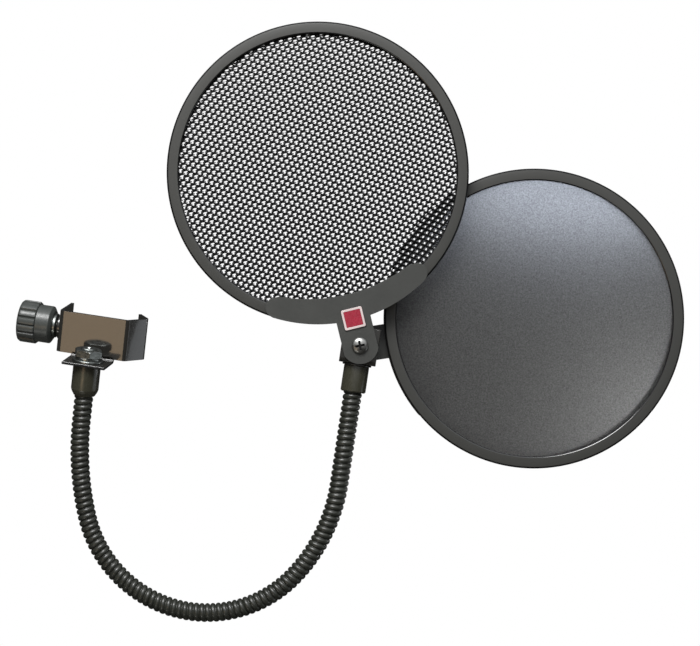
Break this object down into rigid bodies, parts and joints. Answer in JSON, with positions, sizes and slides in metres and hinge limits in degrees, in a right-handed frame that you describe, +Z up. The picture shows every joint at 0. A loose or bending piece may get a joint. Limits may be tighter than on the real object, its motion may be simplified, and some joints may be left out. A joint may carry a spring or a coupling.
{
  "type": "pop filter",
  "caption": "Pop filter for a microphone: a metal mesh screen and a fabric screen that swing on one pivot, at the end of a curved gooseneck with a screw clamp for a stand tube.",
  "frame": {"origin": "on the axis of a 20 mm stand tube lying in the clamp's V jaw, half way up the clamp strip", "axes": "+Z up the stand tube, +X from the knob towards the V jaw and the screens, -Y towards the side the screens' pivot screw faces"},
  "size_m": [0.3405, 0.0803, 0.313],
  "materials": {
    "clamp_paint": "gloss",
    "fastener_steel": "satin",
    "core_wire": "drawn",
    "knob_plastic": "moulded satin",
    "pad_rubber": "matte",
    "ferrule_paint": "satin",
    "neck_finish": "satin",
    "arm_paint": "gloss",
    "rim_plastic": "moulded satin",
    "mesh_metal": "dark anodised",
    "cloth": "knitted nylon",
    "badge_enamel": "gloss"
  },
  "bodies": {
    "clamp": {"clamp_bracket": "clamp_paint", "screw_bush": "clamp_paint", "tab_washer": "fastener_steel", "lock_washer": "fastener_steel", "tab_nut": "fastener_steel", "lower_ferrule": "ferrule_paint", "neck_1": "neck_finish", "core_1": "core_wire"},
    "pad": {"pressure_pad": "fastener_steel", "pad_facing": "pad_rubber"},
    "knob": {"clamp_screw": "fastener_steel", "knob_body": "knob_plastic", "knob_insert": "fastener_steel", "knob_cap": "knob_plastic"},
    "segment_2": {"neck_2": "neck_finish", "core_2": "core_wire"},
    "segment_3": {"neck_3": "neck_finish", "core_3": "core_wire"},
    "segment_4": {"neck_4": "neck_finish", "core_4": "core_wire"},
    "segment_5": {"neck_5": "neck_finish", "core_5": "core_wire"},
    "segment_6": {"neck_6": "neck_finish", "core_6": "core_wire"},
    "yoke": {"neck_7": "neck_finish", "core_7": "core_wire", "upper_ferrule": "ferrule_paint", "yoke_washer": "ferrule_paint", "yoke_screw": "fastener_steel", "yoke_bracket": "arm_paint", "pivot_screw": "fastener_steel", "pivot_spacer": "fastener_steel", "pivot_nut": "fastener_steel", "friction_washers": "pad_rubber"},
    "metal_screen": {"metal_arm": "arm_paint", "metal_ring_front": "rim_plastic", "metal_ring_back": "rim_plastic", "metal_mesh": "mesh_metal", "metal_screws": "fastener_steel", "badge": "badge_enamel"},
    "fabric_screen": {"fabric_arm": "arm_paint", "fabric_ring_front": "rim_plastic", "fabric_ring_back": "rim_plastic", "fabric_cloth": "cloth", "fabric_hoop": "rim_plastic", "fabric_screws": "fastener_steel"}
  },
  "joints": [
    {"name": "screw_feed", "type": "slide", "parent": "clamp", "child": "pad", "axis": [1, 0, 0], "range_m": [-0.0215, 0.0006]},
    {"name": "knob_turn", "type": "hinge", "parent": "pad", "child": "knob", "pos_m": [0, 0, 0], "axis": [1, 0, 0], "range_deg": [-7741, 217]},
    {"name": "neck_sway_1", "type": "hinge", "parent": "clamp", "child": "segment_2", "pos_m": [-0.0112, -0.0215, -0.0431], "axis": [1, 0, 0], "range_deg": [-8, 8]},
    {"name": "neck_curl_1", "type": "hinge", "parent": "segment_2", "child": "segment_3", "pos_m": [-0.00281, -0.0215, -0.09324], "axis": [0, 1, 0], "range_deg": [-3, 22]},
    {"name": "neck_sway_2", "type": "hinge", "parent": "segment_3", "child": "segment_4", "pos_m": [0.01963, -0.0215, -0.12328], "axis": [0.5807, 0, 0.8141], "range_deg": [-8, 8]},
    {"name": "neck_curl_2", "type": "hinge", "parent": "segment_4", "child": "segment_5", "pos_m": [0.05534, -0.0215, -0.13472], "axis": [0, 1, 0], "range_deg": [-3, 22]},
    {"name": "neck_curl_3", "type": "hinge", "parent": "segment_5", "child": "segment_6", "pos_m": [0.1085, -0.01616, -0.10726], "axis": [0, 0.9816, -0.1908], "range_deg": [-3, 22]},
    {"name": "neck_tilt", "type": "hinge", "parent": "segment_6", "child": "yoke", "pos_m": [0.12397, -0.00665, -0.05833], "axis": [1, 0, 0], "range_deg": [-12, 15]},
    {"name": "metal_swing", "type": "hinge", "parent": "yoke", "child": "metal_screen", "pos_m": [0.12397, 0.00707, 0.01225], "axis": [0.134, -0.9728, 0.1891], "range_deg": [-75, 8]},
    {"name": "fabric_swing", "type": "hinge", "parent": "yoke", "child": "fabric_screen", "pos_m": [0.12397, 0.00707, 0.01225], "axis": [0.134, -0.9728, 0.1891], "range_deg": [-27, 72]}
  ],
  "couplings": [
    {"joint": "knob_turn", "follows": "screw_feed", "rad_per_m": 6283.2},
    {"joint": "neck_sway_2", "follows": "neck_sway_1", "ratio": 1},
    {"joint": "neck_curl_2", "follows": "neck_curl_1", "ratio": 1},
    {"joint": "neck_curl_3", "follows": "neck_curl_1", "ratio": 1}
  ]
}
